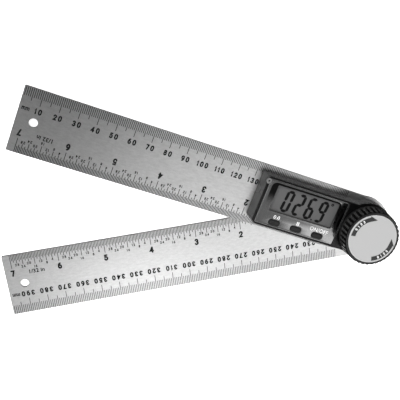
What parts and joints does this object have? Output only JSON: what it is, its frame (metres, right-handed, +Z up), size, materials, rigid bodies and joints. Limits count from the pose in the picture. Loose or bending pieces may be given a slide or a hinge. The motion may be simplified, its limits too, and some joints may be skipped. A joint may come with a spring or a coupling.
{
  "type": "digital angle finder",
  "caption": "Digital angle ruler: two steel rule arms joined by a pivot, with a display head, push buttons and a lock knob.",
  "frame": {"origin": "on the pivot axis, at the centre of the pivot boss's foot, which lies flush with the underside of the lower arm", "axes": "+Z up along the pivot axis, out of the knob; -X along the upper arm, towards its free end; +Y towards the upper arm's millimetre edge"},
  "size_m": [0.2177, 0.1251, 0.023],
  "materials": {
    "satin_steel": "brushed stainless steel, etched black scales",
    "bright_steel": "turned and plated steel",
    "brass": "machined",
    "bronze": "sintered",
    "black_abs": "satin moulded",
    "gloss_panel": "polished",
    "knob_black": "satin moulded, grooved grip",
    "label_silver": "satin foil",
    "lcd_grey": "matte polariser over dark segments",
    "button_grey": "matte moulded",
    "white_plastic": "moulded",
    "rubber_grey": "moulded silicone",
    "board_green": "solder mask",
    "chip_black": "moulded"
  },
  "bodies": {
    "upper_arm": {"upper_blade": "satin_steel", "display_housing": "black_abs", "display_panel": "gloss_panel", "lcd_glass": "lcd_grey", "lcd_frame": "white_plastic", "contact_strip": "rubber_grey", "controller_chip": "chip_black", "circuit_board": "board_green", "key_mat": "rubber_grey", "coin_cell": "bright_steel", "positive_contact": "brass", "negative_contact": "brass", "battery_tray": "black_abs", "battery_cover": "black_abs", "battery_cover_screw_1": "bright_steel", "battery_cover_screw_2": "bright_steel", "head_screw_1": "bright_steel", "head_screw_2": "bright_steel", "head_screw_3": "bright_steel", "head_screw_4": "bright_steel", "pivot_bush": "bronze"},
    "lower_arm": {"lower_blade": "satin_steel", "pivot_boss": "bright_steel", "encoder_rotor": "board_green", "retaining_clip": "bright_steel", "stop_screw": "bright_steel", "wave_spring": "bright_steel"},
    "knob_carrier": {"thrust_washer": "bright_steel"},
    "lock_knob": {"knob_shell": "knob_black", "knob_insert": "brass", "knob_disc": "label_silver"},
    "zero_key": {"zero_button": "button_grey"},
    "hold_key": {"hold_button": "button_grey"},
    "power_key": {"power_button": "button_grey"}
  },
  "joints": [
    {"name": "blade_swing", "type": "hinge", "parent": "upper_arm", "child": "lower_arm", "pos_m": [0, 0, 0], "axis": [0, 0, 1], "continuous": true},
    {"name": "knob_rise", "type": "slide", "parent": "lower_arm", "child": "knob_carrier", "axis": [0, 0, 1], "range_m": [0, 0.0005], "deforming": ["wave_spring"]},
    {"name": "knob_turn", "type": "hinge", "parent": "knob_carrier", "child": "lock_knob", "pos_m": [0, 0, 0.017], "axis": [0, 0, 1], "range_deg": [0, 180]},
    {"name": "zero_press", "type": "slide", "parent": "upper_arm", "child": "zero_key", "axis": [0, 0, -1], "range_m": [0, 0.0004], "stiffness_N_per_m": 3000},
    {"name": "hold_press", "type": "slide", "parent": "upper_arm", "child": "hold_key", "axis": [0, 0, -1], "range_m": [0, 0.0004], "stiffness_N_per_m": 3000},
    {"name": "power_press", "type": "slide", "parent": "upper_arm", "child": "power_key", "axis": [0, 0, -1], "range_m": [0, 0.0004], "stiffness_N_per_m": 3000}
  ],
  "couplings": [
    {"joint": "knob_turn", "follows": "knob_rise", "rad_per_m": 6283}
  ]
}
